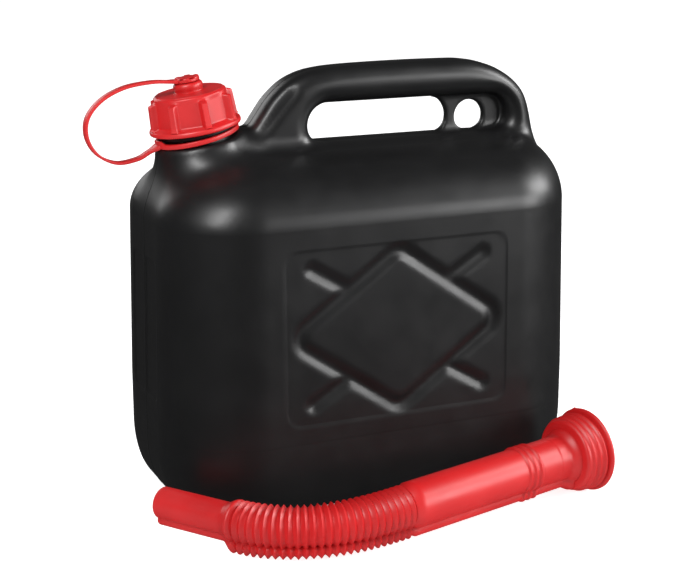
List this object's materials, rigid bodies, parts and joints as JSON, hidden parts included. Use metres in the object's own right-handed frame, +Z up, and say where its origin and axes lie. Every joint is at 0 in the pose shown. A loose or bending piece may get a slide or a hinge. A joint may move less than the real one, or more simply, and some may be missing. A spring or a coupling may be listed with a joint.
{
  "type": "jerry can",
  "caption": "Black plastic fuel can with a moulded carrying handle, a red tethered screw cap and a red bendable pouring spout with a vent tube.",
  "frame": {"origin": "middle of the can's flat base", "axes": "+Z up; +X from the neck end towards the far end of the handle; -Y towards the spout lying in front of the can"},
  "size_m": [0.2961, 0.221, 0.2528],
  "materials": {
    "black_plastic": "satin blow-moulded black polyethylene",
    "red_plastic": "satin signal-red polyethylene, slightly translucent",
    "seal_rubber": "dull black rubber"
  },
  "bodies": {
    "can": {"can_body": "black_plastic"},
    "seal": {"cap_seal": "seal_rubber"},
    "cap": {"cap_shell": "red_plastic"},
    "strap": {"tether_neck_ring": "red_plastic", "tether_band": "red_plastic"},
    "strap_top": {"tether_knob_ring": "red_plastic"},
    "spout": {"spout_collar": "red_plastic", "spout_seal": "seal_rubber"},
    "spout_bend_1": {"spout_bellows_1": "red_plastic"},
    "spout_bend_2": {"spout_bellows_2": "red_plastic"},
    "spout_bend_3": {"spout_bellows_3": "red_plastic"},
    "spout_bend_4": {"spout_bellows_4": "red_plastic"},
    "spout_end": {"spout_bellows_5": "red_plastic", "spout_nozzle": "red_plastic"}
  },
  "joints": [
    {"name": "seal_lift", "type": "slide", "parent": "can", "child": "seal", "axis": [-0.1633, 0, 0.9866], "range_m": [0, 0.0251]},
    {"name": "cap_turn", "type": "hinge", "parent": "seal", "child": "cap", "pos_m": [-0.0977, 0, 0.2202], "axis": [-0.1633, 0, 0.9866], "range_deg": [0, 1800]},
    {"name": "strap_swivel", "type": "hinge", "parent": "can", "child": "strap", "pos_m": [-0.0977, 0, 0.2202], "axis": [-0.1633, 0, 0.9866], "range_deg": [-75, 75]},
    {"name": "strap_lift", "type": "slide", "parent": "strap", "child": "strap_top", "axis": [-0.1633, 0, 0.9866], "range_m": [0, 0.0251], "deforming": ["tether_band"]},
    {"name": "spout_lift", "type": "slide", "parent": "can", "child": "spout", "axis": [0, 0, 1], "range_m": [0, 0.25]},
    {"name": "bend_1", "type": "hinge", "parent": "spout", "child": "spout_bend_1", "pos_m": [-0.03598, -0.13371, 0.02018], "axis": [-0.0317, -0.0063, 0.9995], "range_deg": [-0.5, 9.7], "deforming": ["spout_bellows_1"]},
    {"name": "bend_2", "type": "hinge", "parent": "spout_bend_1", "child": "spout_bend_2", "pos_m": [-0.05399, -0.13554, 0.0196], "axis": [-0.0317, -0.0063, 0.9995], "range_deg": [-0.9, 18.9], "deforming": ["spout_bellows_2"]},
    {"name": "bend_3", "type": "hinge", "parent": "spout_bend_2", "child": "spout_bend_3", "pos_m": [-0.07334, -0.13387, 0.019], "axis": [-0.0317, -0.0063, 0.9995], "range_deg": [-1.1, 25.2], "deforming": ["spout_bellows_3"]},
    {"name": "bend_4", "type": "hinge", "parent": "spout_bend_3", "child": "spout_bend_4", "pos_m": [-0.09186, -0.12741, 0.01846], "axis": [-0.0317, -0.0063, 0.9995], "range_deg": [-1.4, 30.4], "deforming": ["spout_bellows_4"]},
    {"name": "bend_5", "type": "hinge", "parent": "spout_bend_4", "child": "spout_end", "pos_m": [-0.1077, -0.11569, 0.01803], "axis": [-0.0317, -0.0063, 0.9995], "range_deg": [-1.5, 35], "stiffness_Nm_per_rad": 0.05, "deforming": ["spout_bellows_5"]}
  ],
  "couplings": [
    {"joint": "seal_lift", "follows": "cap_turn", "m_per_rad": 0.00079577},
    {"joint": "strap_lift", "follows": "cap_turn", "m_per_rad": 0.00079577},
    {"joint": "bend_1", "follows": "bend_5", "ratio": 0.2762},
    {"joint": "bend_2", "follows": "bend_5", "ratio": 0.5383},
    {"joint": "bend_3", "follows": "bend_5", "ratio": 0.7187},
    {"joint": "bend_4", "follows": "bend_5", "ratio": 0.8684}
  ]
}
